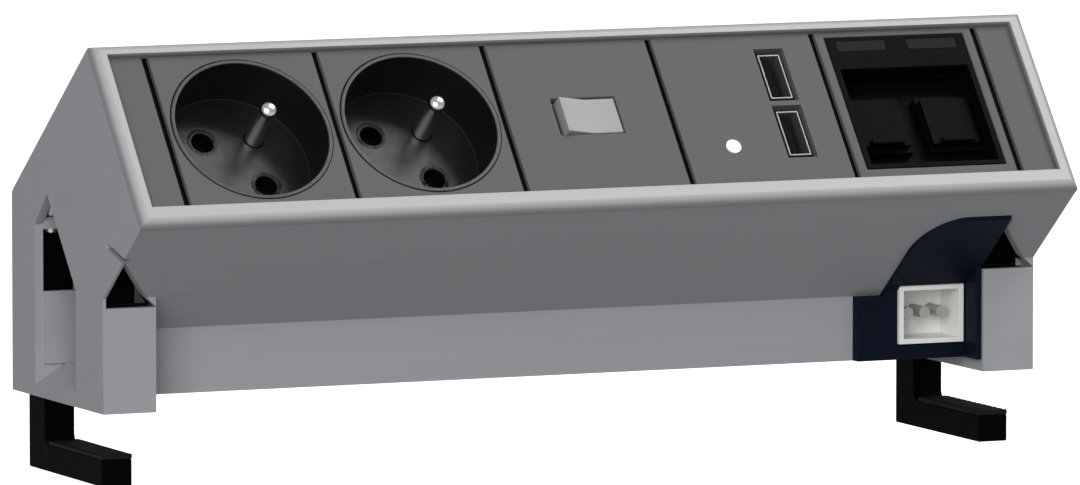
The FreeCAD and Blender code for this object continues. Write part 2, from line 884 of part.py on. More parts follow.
def socket_rear_housing(name):
    piece = Piece(f"{name}_rear_housing")
    back = rear_floor()
    floor = chamber_floor()
    shutter_under = shutter_levels()[1]
    spring_floor = floor - d.spring_pitch * (d.spring_turns + 1)
    spring_room = d.shutter_shoulder_radius + d.free_gap * 2 + d.spring_wire_radius * 2
    piece.add("XY", back, floor_under, circle(0, 0, rear_housing_radius))
    piece.remove("XY", floor, floor_under, circle(0, 0, rear_housing_radius - d.rear_housing_wall))
    piece.remove("XY", spring_floor, floor, circle(0, 0, spring_room))
    piece.add("XY", spring_floor - 1, shutter_under - d.free_gap, circle(0, 0, d.shutter_shoulder_radius))
    piece.add("XY", shutter_under - d.free_gap * 2, floor_under - d.free_gap,
              circle(0, 0, d.shutter_post_radius))
    for x, y in contact_places():
        piece.remove("XY", well_floor(), floor, circle(x, y, d.clip_radius + d.fit_gap))
        piece.remove("XY", back, well_floor(), circle(x, y, d.terminal_screw_radius + d.running_gap))
    x, y = earth_place()
    collar_under = floor_under - d.shutter_thickness
    foot = collar_under - d.clip_length
    piece.remove("XY", foot, floor, circle(x, y, d.terminal_screw_radius + d.fit_gap))
    piece.on_panel(module_along(name))


def socket_terminal_screws(name):
    piece = Piece(f"{name}_terminal_screws")
    back = rear_floor()
    for x, y in contact_places():
        piece.add("XY", back, well_floor(), circle(x, y, d.terminal_screw_radius))
        piece.add("XY", back - d.terminal_head_height, back, circle(x, y, d.terminal_head_radius))
    piece.on_panel(module_along(name))


def mains_socket(name):
    socket_cover(name)
    socket_insert(name)
    socket_earth_pin(name)
    socket_contacts(name)
    socket_shutter(name)
    socket_shutter_spring(name)
    socket_rear_housing(name)
    socket_terminal_screws(name)


def switch_cover():
    piece = Piece("switch_cover")
    piece.add("XY", plate_under, plate_top, centred(0, 0, plate_width, plate_height))
    piece.remove("XY", plate_under, plate_top, centred(0, 0, d.rocker_hole_length, d.rocker_hole_height))
    piece.on_panel(module_along("switch"))


def switch_rocker():
    """The rocker at its off stop: its dished top is tipped by half its swing."""
    lean = d.rocker_swing / 2
    pivot = -d.rocker_pivot_drop

    def tipped(x, z):
        x, z = as_size(x), as_size(z)
        return x * cosine(lean) + z * sine(lean), pivot + z * cosine(lean) - x * sine(lean)

    half = d.rocker_length / 2
    piece = Piece("switch_rocker")
    piece.add("XZ", -d.rocker_height / 2, d.rocker_height / 2, polygon(
        tipped(-half, d.rocker_top),
        tipped(-half, d.rocker_top - d.rocker_side),
        tipped(-d.rocker_nose, -d.rocker_nose),
        tipped(d.rocker_nose, -d.rocker_nose),
        tipped(half, d.rocker_top - d.rocker_side),
        tipped(half, d.rocker_top),
        tipped(0, d.rocker_top - d.rocker_dish),
    ))
    piece.remove("XZ", -d.rocker_height / 2, d.rocker_height / 2,
                 circle(0, pivot, d.pivot_pin_radius + d.running_gap))
    piece.on_panel(module_along("switch"))


def switch_pivot_pin():
    half = d.switch_body_height / 2
    piece = Piece("switch_pivot_pin")
    piece.add("XZ", -half, half, circle(0, -d.rocker_pivot_drop, d.pivot_pin_radius))
    piece.on_panel(module_along("switch"))


def blade_places():
    return [d.blade_spacing * i for i in (-1, 0, 1)]


def switch_body():
    piece = Piece("switch_body")
    back = plate_under - d.switch_body_depth
    cavity_floor = back + d.switch_body_depth / 2
    piece.add("XY", back, plate_under, centred(0, 0, d.switch_body_length, d.switch_body_height))
    piece.add("XY", plate_under - d.switch_flange, plate_under,
              centred(0, 0, module_side, module_side))
    piece.remove("XY", cavity_floor, plate_under, centred(0, 0, d.rocker_hole_length, d.rocker_hole_height))
    piece.remove("XZ", -d.switch_body_height / 2, d.switch_body_height / 2,
                 circle(0, -d.rocker_pivot_drop, d.pivot_pin_radius + d.running_gap))
    piece.remove("XY", back, cavity_floor - 1,
                 *[centred(x, 0, d.blade_thickness + d.fit_gap, d.blade_width + d.fit_gap)
                   for x in blade_places()])
    piece.on_panel(module_along("switch"))


def switch_terminals():
    piece = Piece("switch_terminals")
    back = plate_under - d.switch_body_depth
    top = back + d.switch_body_depth / 2 - 1
    piece.add("XY", top - d.blade_length - d.blade_width, top,
              *[centred(x, 0, d.blade_thickness, d.blade_width) for x in blade_places()])
    piece.on_panel(module_along("switch"))


def port_places():
    return [(d.port_along, d.port_upper), (d.port_along, d.port_lower)]


def usb_charger():
    along = module_along("usb")
    case_front = plate_under - d.charger_wall
    back = plate_under - d.charger_depth
    shell_front = plate_top - d.shell_set_back
    board_top = shell_front - d.shell_length
    board_under = board_top - d.board_thickness

    cover = Piece("usb_cover")
    cover.add("XY", plate_under, plate_top, centred(0, 0, plate_width, plate_height))
    cover.remove("XY", plate_under, plate_top,
                 *[centred(x, y, d.port_hole_width, d.port_hole_height) for x, y in port_places()])
    cover.remove("XY", plate_under, plate_top,
                 circle(d.indicator_along, d.indicator_up, d.indicator_radius + d.fit_gap))
    cover.on_panel(along)

    case = Piece("usb_case")
    inside = module_side - d.charger_wall * 2
    case.add("XY", back, plate_under, centred(0, 0, module_side, module_side))
    case.remove("XY", back, case_front, centred(0, 0, inside, inside))
    case.remove("XY", case_front, plate_under,
                *[centred(x, y, d.shell_width + d.fit_gap * 2, d.shell_height + d.fit_gap * 2)
                  for x, y in port_places()])
    case.remove("XY", case_front, plate_under,
                circle(d.indicator_along, d.indicator_up, d.indicator_radius + d.fit_gap))
    case.on_panel(along)

    lid = Piece("usb_back_cover")
    lid.add("XY", back - d.charger_wall, back, centred(0, 0, module_side, module_side))
    lid.on_panel(along)

    shells = Piece("usb_shells")
    bore_width, bore_height = d.shell_width - d.shell_wall * 2, d.shell_height - d.shell_wall * 2
    shells.add("XY", board_top, shell_front,
               *[centred(x, y, d.shell_width, d.shell_height) for x, y in port_places()])
    shells.remove("XY", board_top + d.shell_wall, shell_front,
                  *[centred(x, y, bore_width, bore_height) for x, y in port_places()])
    shells.on_panel(along)

    tongues = Piece("usb_tongues")
    tongues.add("XY", board_top + d.shell_wall, shell_front - d.shell_set_back,
                *[centred(x - d.shell_width / 6, y, d.tongue_thickness, d.tongue_height)
                  for x, y in port_places()])
    tongues.on_panel(along)

    board = Piece("usb_board")
    board_side = inside - d.board_gap * 2
    board.add("XY", board_under, board_top, centred(0, 0, board_side, board_side))
    board.on_panel(along)

    parts = Piece("usb_board_parts")
    quarter = board_side / 4
    parts.add("XY", board_under - d.transformer_height, board_under,
              centred(-quarter, quarter, d.transformer_side, d.transformer_side))
    parts.add("XY", board_under - d.transformer_height, board_under,
              circle(quarter, quarter, d.capacitor_radius), circle(quarter, -quarter, d.capacitor_radius))
    parts.on_panel(along)

    lens = Piece("usb_indicator_lens")
    lens.turn((0, board_top), (d.indicator_radius, board_top),
              (d.indicator_radius, plate_top + d.free_gap), (0, plate_top + d.free_gap))
    lens.on_panel(along + d.indicator_along, d.indicator_up)


def data_recess_span():
    """How far up the panel, from the module's middle, the data recess starts and ends."""
    return d.data_frame_foot - plate_height / 2, plate_height / 2 - d.data_frame_head


def jack_places():
    low, high = data_recess_span()
    return [((d.jack_width + d.jack_gap) * half, (low + high) / 2) for half in (-0.5, 0.5)]


def data_outlet():
    along = module_along("data")
    recess_floor = plate_top - d.data_recess_depth
    jack_front = plate_top - d.jack_set_back
    jack_back = jack_front - d.jack_depth
    frame_under = recess_floor - d.switch_flange
    label_under = plate_top - d.label_thickness
    recess_side = plate_width / 2 - d.data_frame_side
    recess_low, recess_high = data_recess_span()
    hole_side = plate_width / 2 - d.data_cover_side
    hole_low, hole_high = d.data_cover_foot - plate_height / 2, plate_height / 2 - d.data_cover_head

    cover = Piece("data_cover")
    cover.add("XY", plate_under, plate_top, centred(0, 0, plate_width, plate_height))
    cover.remove("XY", plate_under, plate_top, rectangle(-hole_side, hole_low, hole_side, hole_high))
    cover.on_panel(along)

    frame = Piece("data_frame")
    frame.add("XY", plate_under, plate_top, rectangle(
        d.fit_gap - hole_side, hole_low + d.fit_gap, hole_side - d.fit_gap, hole_high - d.fit_gap))
    frame.add("XY", frame_under, plate_under, centred(0, 0, module_side, module_side))
    frame.remove("XY", recess_floor, plate_top,
                 rectangle(-recess_side, recess_low, recess_side, recess_high))
    slide_room = d.slide_thickness + d.free_gap * 2
    slide_rise = d.slide_height / 2 + d.slide_travel + d.free_gap
    for x, y in jack_places():
        frame.remove("XY", jack_front, jack_front + slide_room,
                     rectangle(-recess_side, recess_low, recess_side, y + slide_rise))
        frame.remove("XY", frame_under, recess_floor,
                     centred(x, y, d.jack_width + d.fit_gap, d.jack_height + d.fit_gap))
    label_up = plate_height / 2 - d.label_drop
    frame.remove("XY", label_under, plate_top,
                 *[centred(x, label_up, d.label_width + d.fit_gap, d.label_height + d.fit_gap)
                   for x, y in jack_places()])
    frame.on_panel(along)

    windows = Piece("data_label_windows")
    windows.add("XY", label_under, plate_top,
                *[centred(x, label_up, d.label_width, d.label_height) for x, y in jack_places()])
    windows.on_panel(along)

    jacks = Piece("data_jacks")
    jacks.add("XY", jack_back, jack_front,
              *[centred(x, y, d.jack_width, d.jack_height) for x, y in jack_places()])
    jacks.remove("XY", jack_front - d.jack_port_depth, jack_front,
                 *[centred(x, y, d.jack_port_width, d.jack_port_height) for x, y in jack_places()])
    jacks.on_panel(along)

    contacts = Piece("data_jack_contacts")
    port_floor = jack_front - d.jack_port_depth
    contact_rise = d.jack_port_height / 2 - d.jack_contact_side * 2
    contacts.add("XY", port_floor, port_floor + d.jack_contact_length,
                 *[centred(x + d.jack_contact_pitch * (i - 3.5), y + contact_rise,
                           d.jack_contact_side, d.jack_contact_side)
                   for x, y in jack_places() for i in range(8)])
    contacts.on_panel(along)

    for hand, (x, y) in zip(("left", "right"), jack_places()):
        slide = Piece(f"data_shutter_{hand}")
        under = jack_front + d.free_gap
        slide.add("XY", under, under + d.slide_thickness, centred(0, 0, d.slide_width, d.slide_height))
        slide.add("XY", under, under + d.slide_thickness + d.slide_ridge,
                  rectangle(-d.slide_width / 3, -d.slide_height / 2, d.slide_width / 3,
                            d.slide_ridge - d.slide_height / 2))
        slide.on_panel(along + x, y)


def inlet_left():
    return profile_half - d.inlet_width


def window_left():
    """Left side of the window that the inlet passes through."""
    return inlet_left() + d.inlet_arch_inset + d.casing_wall / 2


def window_top():
    return undercut_z(d.undercut_reach) + d.casing_wall * 3


def connector_right():
    return profile_half - d.connector_edge_gap


def connector_front():
    return d.undercut_reach - d.inlet_block_proud - d.connector_proud


def inlet():
    """The dark moulding at the right end and the white three-pole connector in it."""
    right = profile_half - d.fit_gap
    front = d.undercut_reach - d.inlet_block_proud
    proud = -d.inlet_proud
    top_y = d.inlet_arch_top / tangent(d.undercut_angle)
    foot_z = -d.profile_drop
    outer_z = undercut_z(front, proud)
    housing = Piece("inlet_housing")
    housing.add("YZ", inlet_left(), right, polygon(
        (top_y, undercut_z(top_y)),
        (top_y, undercut_z(top_y, proud)),
        (front, outer_z),
        (front, foot_z),
        (d.undercut_reach, foot_z),
        (d.undercut_reach, undercut_z(d.undercut_reach)),
    ))
    step_right = inlet_left() + d.inlet_arch_inset
    housing.remove("XZ", 0, d.undercut_reach, rectangle(
        inlet_left(), undercut_z(d.undercut_reach), step_right, undercut_z(0)))
    housing.remove("XY", -d.undercut_reach, 0, corner_waste(step_right, top_y, d.inlet_arch_radius))
    cheek_front = d.foot_setback + d.inlet_proud
    housing.add("YZ", right - d.inlet_cheek, right, polygon(
        (cheek_front, undercut_z(cheek_front)),
        (cheek_front, foot_z),
        (d.undercut_reach, foot_z),
        (d.undercut_reach, undercut_z(d.undercut_reach)),
    ))
    plug_gap = d.casing_wall + d.fit_gap
    width, height = d.connector_width, d.connector_height
    low = connector_low
    plug_top = low + height + d.casing_wall / 2
    housing.add("XZ", d.undercut_reach - 1, d.undercut_reach + d.casing_wall * 3, rectangle(
        window_left() + d.fit_gap, foot_z + plug_gap, right, plug_top))
    connector_left = connector_right() - width
    gap = d.fit_gap
    housing.remove("XZ", 0, d.undercut_reach + d.casing_wall * 3, rectangle(
        connector_left - gap, low - gap, connector_right() + gap, low + height + gap))
    housing.in_section()

    connector = Piece("inlet_connector")
    face = connector_front()
    wall = d.connector_wall
    connector.add("XZ", face, face + d.connector_length,
                  rectangle(connector_left, low, connector_right(), low + height))
    connector.remove("XZ", face, face + d.connector_recess, rectangle(
        connector_left + wall, low + wall, connector_right() - wall, low + height - wall))
    places = [(connector_left + width / 2 + d.inlet_pin_spacing * i, low + height / 2) for i in (-1, 0, 1)]
    pin_start = face + d.connector_recess - d.inlet_pin_length
    connector.remove("XZ", pin_start, face + d.connector_length,
                     *[circle(x, z, d.inlet_pin_radius + d.running_gap) for x, z in places])
    connector.in_section()

    pins = Piece("inlet_pins")
    pins.add("XZ", pin_start, face + d.connector_length,
             *[circle(x, z, d.inlet_pin_radius) for x, z in places])
    pins.in_section()


def clamp_jaw(name, side):
    """An L in one piece: a stem that slides in the cap and an arm under the desk top."""
    half = d.jaw_width / 2
    stem_top = ring_levels()[1] - d.jaw_stop_gap
    arm_top = -foot_drop - d.closed_gap - d.pad_thickness
    arm_under = arm_top - d.jaw_arm
    back, tip = jaw_back, d.jaw_tip_reach
    front = back - d.jaw_stem
    heel = front - d.jaw_heel_taper
    jaw = Piece(f"{name}_clamp_jaw")
    jaw.add("YZ", -half, half, polygon(
        (front, stem_top), (heel, -foot_drop), (heel, arm_top), (tip, arm_top),
        (tip, arm_under), (back, arm_under), (back, stem_top)))

    def inner_corner(middle, run):
        return abs(middle.y - heel.value) < 0.01 and abs(middle.z - arm_top.value) < 0.01 and abs(run.x) > 1

    jaw.round_edges(d.jaw_inner_radius, inner_corner)
    bore_foot = shelf_seat() - d.clamp_screw_length - d.free_gap
    jaw.remove("XY", bore_foot, stem_top, circle(0, clamp_screw_y(), d.clamp_screw_radius + d.running_gap))
    jaw.in_section(cap_middle(side))

    pad = Piece(f"{name}_jaw_pad")
    pad.add("XY", arm_top, arm_top + d.pad_thickness,
            rectangle(-half, tip, half, heel - d.jaw_inner_radius))
    pad.in_section(cap_middle(side))


def shelf_seat():
    """Where a clamp screw's head rests, with room for the head under the rear slope."""
    head_back = clamp_screw_y() + d.clamp_head_radius
    return slope_z(head_back, d.casing_wall) - d.clamp_head_room - d.clamp_head_height


def ring_levels():
    """Top and underside of the ring that keeps a clamp screw in its shelf."""
    top = shelf_seat() - d.clamp_shelf_thickness - d.running_gap * 2
    return top, top - d.screw_ring_thickness


def clamp_screw(name, side):
    """A socket-head screw that hangs on the cap's shelf and draws the jaw up."""
    seat = shelf_seat()
    head_top = seat + d.clamp_head_height
    foot = seat - d.clamp_screw_length
    ring_top, ring_under = ring_levels()
    screw = Piece(f"{name}_clamp_screw")
    radius = d.clamp_screw_radius
    screw.turn((0, foot), (radius, foot), (radius, seat), (d.clamp_head_radius, seat),
               (d.clamp_head_radius, head_top), (0, head_top))
    socket = radius * 0.8
    screw.remove("XY", seat + d.clamp_head_height / 3, head_top, polygon(*[
        (socket * cosine(as_size(60 * i)), socket * sine(as_size(60 * i))) for i in range(6)]))
    screw.move_to(cap_middle(side), clamp_screw_y() + front_edge_y, front_edge_z)

    ring = Piece(f"{name}_screw_ring")
    ring.add("XY", ring_under, ring_top, circle(0, 0, d.screw_ring_radius))
    ring.remove("XY", ring_under, ring_top, circle(0, 0, radius))
    ring.move_to(cap_middle(side), clamp_screw_y() + front_edge_y, front_edge_z)


def block_floor():
    return d.casing_wall - d.profile_drop


def bond_screw_y():
    return block_reach + d.block_width - d.terminal_spacing / 2


def terminal_reach(pole):
    """How far back a pole of the terminal block lies."""
    return block_reach + d.block_width / 2 + d.terminal_spacing * (pole - 1)


def terminal_block():
    piece = Piece("terminal_block")
    left = d.block_along - d.block_length / 2
    piece.add("XY", block_floor(), block_floor() + d.block_height, rectangle(
        left, block_reach, left + d.block_length, block_reach + d.block_width))
    for pole in range(3):
        piece.remove("XY", block_floor() + d.block_height - d.terminal_head_height,
                     block_floor() + d.block_height,
                     circle(d.block_along, terminal_reach(pole), d.terminal_head_radius))
    piece.in_section()


def bent_wire(points, bend):
    """A line through points with tangent arcs at its corners."""
    edges = []
    start = points[0]
    for before, corner, after in zip(points, points[1:], points[2:]):
        back = (before - corner).normalize()
        ahead = (after - corner).normalize()
        half_turn = back.getAngle(ahead) / 2
        trim = bend / math.tan(half_turn)
        entry, leave = corner + back * trim, corner + ahead * trim
        inward = (back + ahead).normalize()
        middle = corner + inward * (bend / math.sin(half_turn) - bend)
        edges.append(Part.LineSegment(start, entry).toShape())
        edges.append(Part.Arc(entry, middle, leave).toShape())
        start = leave
    edges.append(Part.LineSegment(start, points[-1]).toShape())
    return Part.Wire(edges)


def wire_tube(points, radius, bend):
    """A round wire along a route given by its corners."""
    start = Part.makeCircle(radius, points[0], points[1] - points[0])
    return bent_wire(points, bend).makePipeShell([Part.Wire(start)], True, False)


def wiring():
    """Three conductors, each from the inlet to the block and on to the modules that use it."""
    users = {"line": ("socket_1", "socket_2", "usb"), "earth": ("socket_1", "socket_2"),
             "neutral": ("socket_1", "socket_2", "usb")}
    back_depth = {"usb": d.charger_depth - plate_under + d.charger_wall,
                  "socket_2": -rear_floor(), "socket_1": -rear_floor()}
    layers = list(back_depth)
    radius, bend = d.wire_radius.value, d.wire_bend.value
    block_left = (d.block_along - d.block_length / 2).value
    block_right = block_left + d.block_length.value
    block_top = (block_floor() + d.block_height).value
    for pole, (conductor, modules) in enumerate(users.items()):
        reach = terminal_reach(pole).value
        tubes = []
        for module in modules:
            level = block_top - d.wire_floor_gap.value / 2 - d.wire_layer.value * layers.index(module)
            along = (module_along(module) + d.terminal_spacing * (pole - 1)).value
            y, z = section_point(row_middle, back_depth[module])
            start = Vector(along, y.value, z.value)
            inward = Vector(0, sine(d.panel_tilt).value, -cosine(d.panel_tilt).value)
            elbow = start + inward * d.wire_bend.value
            tubes.append(wire_tube([start, elbow, Vector(along, reach, level),
                                    Vector(block_left, reach, level)], radius, bend))
        pin_along = (connector_right() - d.connector_width / 2 + d.inlet_pin_spacing * (pole - 1)).value
        pin_level = (connector_low + d.connector_height / 2).value
        inlet_back = (connector_front() + d.connector_length).value
        tubes.append(wire_tube([Vector(pin_along, inlet_back, pin_level), Vector(pin_along, reach, pin_level),
                                Vector(block_right, reach, pin_level)], radius, bend))
        feature = doc.addObject("Part::Feature", f"{conductor}_wires")
        feature.Label = f"{conductor}_wires"
        feature.Shape = Part.makeCompound(tubes)
        feature.Placement = FreeCAD.Placement(
            Vector(0, front_edge_y.value, front_edge_z.value), FreeCAD.Rotation())
        pieces.append(feature)


def earth_bond():
    """A ring terminal screwed to the extrusion's floor and strapped to the terminal block."""
    low = block_floor()
    high = low + d.earth_ring_thickness
    x, y = d.bond_screw_along, bond_screw_y()
    ring = Piece("earth_ring")
    ring.add("XY", low, high, circle(x, y, d.earth_ring_radius))
    ring.add("XY", low, high, rectangle(
        x, y - d.blade_width / 2, d.block_along - d.block_length / 2, y + d.blade_width / 2))
    ring.remove("XY", low, high, circle(x, y, d.bond_screw_radius + d.running_gap))
    ring.in_section()

    screw = Piece("earth_bond_screw")
    screw.turn((0, -d.profile_drop), (d.bond_screw_radius, -d.profile_drop), (d.bond_screw_radius, high),
               (d.bond_screw_radius * 2, high), (d.bond_screw_radius * 2, high + d.terminal_head_height),
               (0, high + d.terminal_head_height))
    screw.move_to(x, y + front_edge_y, front_edge_z)


def check_and_export():
    """Recompute, refuse any failed object or bad shape, then write one file for each piece."""
    doc.recompute()
    for thing in doc.Objects:
        if "Invalid" in thing.State or "Error" in thing.State:
            raise RuntimeError(f"{thing.Label} failed: {thing.State}")
    for piece in pieces:
        if piece.Shape.isNull() or not piece.Shape.isValid():
            raise RuntimeError(f"{piece.Label} has no valid shape")
    os.makedirs("parts", exist_ok=True)
    for piece in pieces:
        piece.Shape.exportStep(f"parts/{piece.Label}.step")


housing_profile()
front_frame()
filler_strips()
module_carrier()
end_cap("left_end_cap", LEFT)
end_cap("right_end_cap", RIGHT)
end_cap_screws()
mains_socket("socket_1")
mains_socket("socket_2")
switch_cover()
switch_rocker()
switch_pivot_pin()
switch_body()
switch_terminals()
usb_charger()
data_outlet()
inlet()
for name, side in (("left", LEFT), ("right", RIGHT)):
    clamp_jaw(name, side)
    clamp_screw(name, side)
terminal_block()
wiring()
earth_bond()
check_and_export()
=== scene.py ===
import bpy
import json
import math
from mathutils import Matrix, Vector

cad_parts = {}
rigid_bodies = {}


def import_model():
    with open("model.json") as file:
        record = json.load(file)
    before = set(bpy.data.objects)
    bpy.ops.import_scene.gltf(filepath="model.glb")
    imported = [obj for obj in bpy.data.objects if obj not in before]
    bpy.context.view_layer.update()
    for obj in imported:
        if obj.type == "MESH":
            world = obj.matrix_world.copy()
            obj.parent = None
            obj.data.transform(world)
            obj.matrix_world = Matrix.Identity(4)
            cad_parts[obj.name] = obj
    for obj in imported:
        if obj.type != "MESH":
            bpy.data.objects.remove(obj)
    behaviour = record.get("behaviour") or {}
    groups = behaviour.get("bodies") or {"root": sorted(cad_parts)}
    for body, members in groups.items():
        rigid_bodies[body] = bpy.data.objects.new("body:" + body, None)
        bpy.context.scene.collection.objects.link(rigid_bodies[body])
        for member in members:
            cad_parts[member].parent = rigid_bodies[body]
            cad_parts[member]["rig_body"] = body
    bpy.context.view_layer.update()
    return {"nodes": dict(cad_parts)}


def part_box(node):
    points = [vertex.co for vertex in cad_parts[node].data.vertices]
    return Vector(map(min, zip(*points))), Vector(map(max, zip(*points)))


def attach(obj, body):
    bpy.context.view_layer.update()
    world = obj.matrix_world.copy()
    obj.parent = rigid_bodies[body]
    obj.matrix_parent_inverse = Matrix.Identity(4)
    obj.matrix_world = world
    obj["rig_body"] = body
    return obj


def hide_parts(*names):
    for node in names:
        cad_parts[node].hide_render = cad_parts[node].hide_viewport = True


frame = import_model()
MM = 0.001
MICRON = 0.000001

# The sloping panel: its own X runs along the strip, its Y up the slope and its Z out of the face.
# Places on it are in millimetres from its middle. The modules' plates lie a little below its plane.
SLOPE = math.radians(50)
PANEL = Matrix.Translation((0, -0.0282017, 0.0894492)) @ Matrix.Rotation(SLOPE, 4, "X")
FACE = -1.4
RECESS_FLOOR = FACE - 15
SOCKETS = {"socket_1": -90, "socket_2": -45}
CHARGER = 45
# The contact holes lie on a diagonal of the recess, 9.5 mm from its middle
HOLE_REACH = 9.5 * math.sqrt(0.5)
# How far up the slope the charger's ports lie, and the contacts of a port from its middle
PORTS = {"upper": 10.2, "lower": -7.1}
CONTACTS = -3.5, -1.1, 1.1, 3.5


def mm(*values):
    """Millimetres as the metres that the scene counts in."""
    return [value * MM for value in values]


def shade(red, green, blue):
    """A colour given from 0 to 255, as the light level that the shader wants."""
    levels = [c / 255 for c in (red, green, blue)]
    return tuple(c / 12.92 if c < 0.04045 else ((c + 0.055) / 1.055) ** 2.4 for c in levels) + (1,)


def alone(piece):
    bpy.ops.object.select_all(action="DESELECT")
    piece.select_set(True)
    bpy.context.view_layer.objects.active = piece


# Shader values: each helper takes numbers, colours or the outputs of other nodes

def feed(tree, socket, value):
    if isinstance(value, bpy.types.NodeSocket):
        tree.links.new(value, socket)
    else:
        socket.default_value = value


def arithmetic(tree, operation, *values):
    node = tree.nodes.new("ShaderNodeMath")
    node.operation = operation
    for socket, value in zip(node.inputs, values):
        feed(tree, socket, value)
    return node.outputs[0]


def between(tree, factor, low, high, kind="RGBA"):
    """Low where the factor is 0, high where it is 1, and a blend of the two between."""
    node = tree.nodes.new("ShaderNodeMix")
    node.data_type = kind
    for name, value in (("Factor", factor), ("A", low), ("B", high)):
        feed(tree, node.inputs[name], value)
    return node.outputs["Result"]


def share(tree, value, low, high):
    """0 where the value is low or less, 1 where it is high or more."""
    node = tree.nodes.new("ShaderNodeMapRange")
    for name, given in (("Value", value), ("From Min", low), ("From Max", high)):
        feed(tree, node.inputs[name], given)
    return node.outputs["Result"]


def apart(tree, vector):
    """The X, Y and Z of a vector."""
    node = tree.nodes.new("ShaderNodeSeparateXYZ")
    tree.links.new(vector, node.inputs[0])
    return node.outputs["X"], node.outputs["Y"], node.outputs["Z"]


# Finishes

def grain_group():
    """Fine grain and broad tone drift, for every moulded, cast or drawn surface here."""
    group = bpy.data.node_groups.new("surface grain", "ShaderNodeTree")
    for name, kind in (("Place", "Vector"), ("Colour", "Color"), ("Drift", "Float"),
                       ("Roughness", "Float"), ("Spread", "Float")):
        group.interface.new_socket(name, in_out="INPUT", socket_type=f"NodeSocket{kind}")
    for name, kind in (("Colour", "Color"), ("Roughness", "Float"), ("Height", "Float")):
        group.interface.new_socket(name, in_out="OUTPUT", socket_type=f"NodeSocket{kind}")
    given = group.nodes.new("NodeGroupInput").outputs
    result = group.nodes.new("NodeGroupOutput").inputs

    def noise(scale, detail):
        node = group.nodes.new("ShaderNodeTexNoise")
        node.inputs["Scale"].default_value = scale
        node.inputs["Detail"].default_value = detail
        group.links.new(given["Place"], node.inputs["Vector"])
        return node.outputs["Fac"]

    fine, broad = noise(scale=1, detail=3), noise(scale=0.06, detail=2)
    swing = arithmetic(group, "SUBTRACT", arithmetic(group, "ADD", fine, broad), 1)
    level = arithmetic(group, "ADD", arithmetic(group, "MULTIPLY", swing, given["Drift"]), 1)
    rough = arithmetic(group, "MULTIPLY", swing, given["Spread"])
    tint = group.nodes.new("ShaderNodeVectorMath")
    tint.operation = "SCALE"
    group.links.new(given["Colour"], tint.inputs[0])
    group.links.new(level, tint.inputs["Scale"])
    group.links.new(tint.outputs[0], result["Colour"])
    group.links.new(arithmetic(group, "ADD", given["Roughness"], rough), result["Roughness"])
    group.links.new(fine, result["Height"])
    return group


GRAIN = grain_group()


def surface(name, colour, roughness, grain, depth, metallic=0.0, drift=0.08, shine=0.5):
    """A finish. Grain is how many grains lie in a metre along X, Y and Z, depth their height in microns."""
    material = bpy.data.materials.new(name)
    material.use_nodes = True
    nodes, links = material.node_tree.nodes, material.node_tree.links
    shader = nodes["Principled BSDF"].inputs
    shader["Metallic"].default_value = metallic
    shader["Specular IOR Level"].default_value = shine
    where = nodes.new("ShaderNodeTexCoord")
    size = nodes.new("ShaderNodeMapping")
    size.inputs["Scale"].default_value = grain
    texture = nodes.new("ShaderNodeGroup")
    texture.node_tree = GRAIN
    for socket, value in (("Colour", colour), ("Drift", drift), ("Roughness", roughness), ("Spread", 0.15)):
        texture.inputs[socket].default_value = value
    bump = nodes.new("ShaderNodeBump")
    bump.inputs["Distance"].default_value = depth * MICRON
    links.new(where.outputs["Object"], size.inputs["Vector"])
    links.new(size.outputs[0], texture.inputs["Place"])
    links.new(texture.outputs["Colour"], shader["Base Color"])
    links.new(texture.outputs["Roughness"], shader["Roughness"])
    links.new(texture.outputs["Height"], bump.inputs["Height"])
    links.new(bump.outputs["Normal"], shader["Normal"])
    return material


def place_and_colour(material):
    """Of a finish: the output that says where on the piece a point lies, and the input for its colour."""
    nodes = {node.type: node for node in material.node_tree.nodes}
    return nodes["TEX_COORD"].outputs["Object"], nodes["GROUP"].inputs["Colour"]


COARSE, EVEN, METAL, FINE = ((count,) * 3 for count in (1200, 2500, 3000, 6000))
WHITE = (1, 1, 1, 1)
# The second colour is painted shade, laid on the chamber behind each cap's notch.
SILVER, CHAMBER_SHADE = shade(160, 161, 165), shade(14, 15, 18)
GREEN, YELLOW = shade(60, 140, 50), shade(226, 206, 50)
# The rim's two colours are painted light: a highlight on its flat face, and shade on its rounded outer edge.
RIM_FACE_HIGHLIGHT, RIM_EDGE_SHADE = shade(164, 165, 167), shade(128, 129, 131)
# The chamber behind the notch of each cap, painted dark as shade, in millimetres: out from the strip's middle,
# back and up
CHAMBER = (112.6, 124.4), (-17.8, -3.4), (24.5, 95.5)

extruded = surface("drawn anodised extrusion", SILVER, 0.42, (30, 4500, 4500), 20, drift=0.10, shine=0.05)
grey_face = surface("grey module moulding", shade(92, 94, 93), 0.55, FINE, 20, drift=0.06, shine=0.15)
satin_black = surface("satin black moulding", shade(8, 7, 7), 0.38, FINE, 10, drift=0.15)
black_moulding = surface("black moulding", shade(6, 6, 6), 0.5, FINE, 10, drift=0.15, shine=0.03)
navy_moulding = surface("dark navy moulding", shade(14, 20, 34), 0.45, FINE, 10, drift=0.15, shine=0.04)
white_moulding = surface("white moulding", shade(236, 236, 234), 0.32, FINE, 5, drift=0.03)
rocker_moulding = surface("pale grey key", shade(146, 147, 147), 0.4, FINE, 5, drift=0.04, shine=0.3)
cream_moulding = surface("cream moulding", shade(214, 208, 192), 0.45, FINE, 10)
label_card = surface("dark grey label card", shade(30, 30, 32), 0.5, (900,) * 3, 5, drift=0.12, shine=0.05)
black_powder = surface("black powder coat", shade(4, 4, 4), 0.6, (3500,) * 3, 40, drift=0.2, shine=0.02)
ribbed_rubber = surface("black rubber", shade(14, 14, 14), 0.75, (1800,) * 3, 40, drift=0.2, shine=0.15)
plated = surface("nickel plated steel", shade(214, 214, 212), 0.2, (4000, 4000, 400), 5, metallic=1, drift=0.04)
dull_steel = surface("dull steel shell", shade(120, 120, 118), 0.45, METAL, 10, metallic=0.8)
